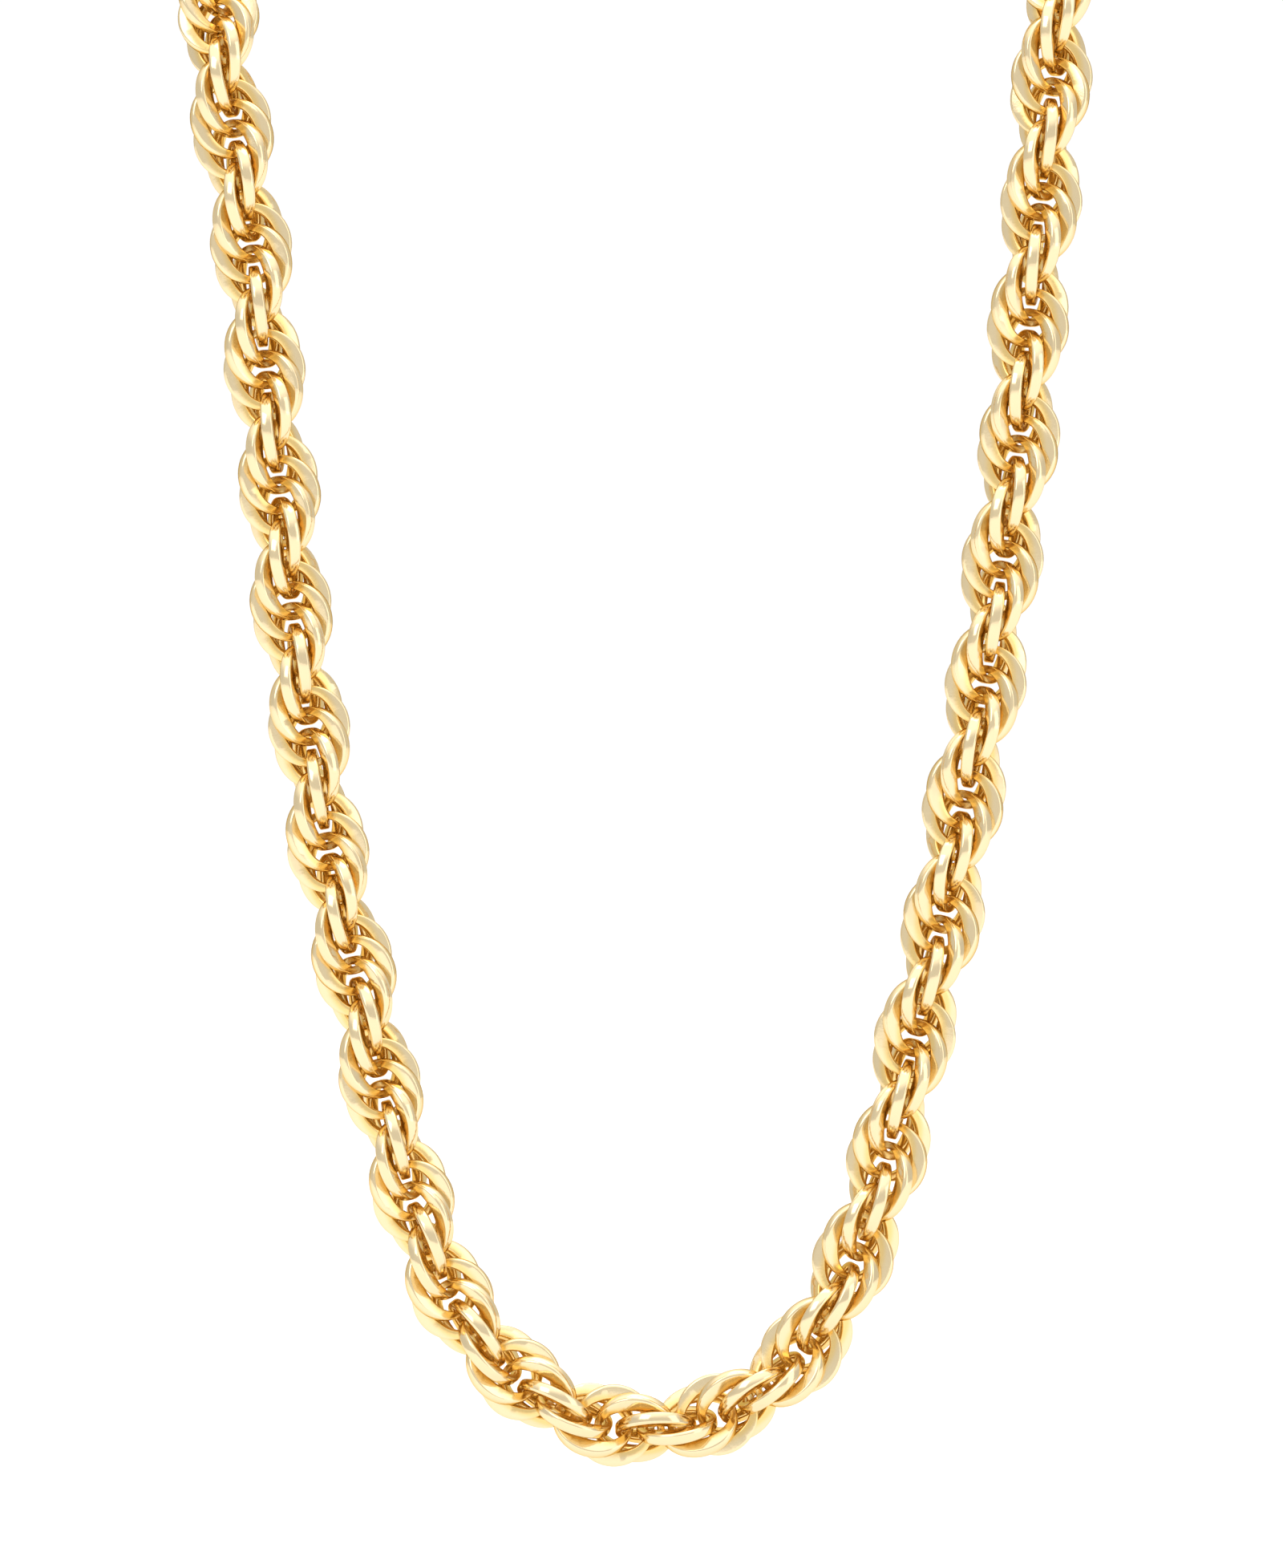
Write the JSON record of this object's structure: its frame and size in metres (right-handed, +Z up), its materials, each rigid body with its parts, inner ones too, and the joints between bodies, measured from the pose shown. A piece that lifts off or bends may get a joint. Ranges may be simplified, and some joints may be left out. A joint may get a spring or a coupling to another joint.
{
  "type": "rope chain necklace",
  "caption": "Heavy rope chain necklace: round links passed through one another and turned step by step into a twisted rope, closed behind the neck by a plain barrel.",
  "frame": {"origin": "middle of the open space that the neck fills, level with the sides of the loop; the chain hangs from here", "axes": "+Z up, -Y towards the viewer who faces the worn chain, +X to that viewer's right"},
  "size_m": [0.1016, 0.0507, 0.1961],
  "materials": {
    "gold_chain": "polished yellow gold",
    "gold_clasp": "polished yellow gold"
  },
  "bodies": {
    "root": {"chain_left": "gold_chain", "chain_right": "gold_chain", "clasp": "gold_clasp"}
  },
  "joints": []
}
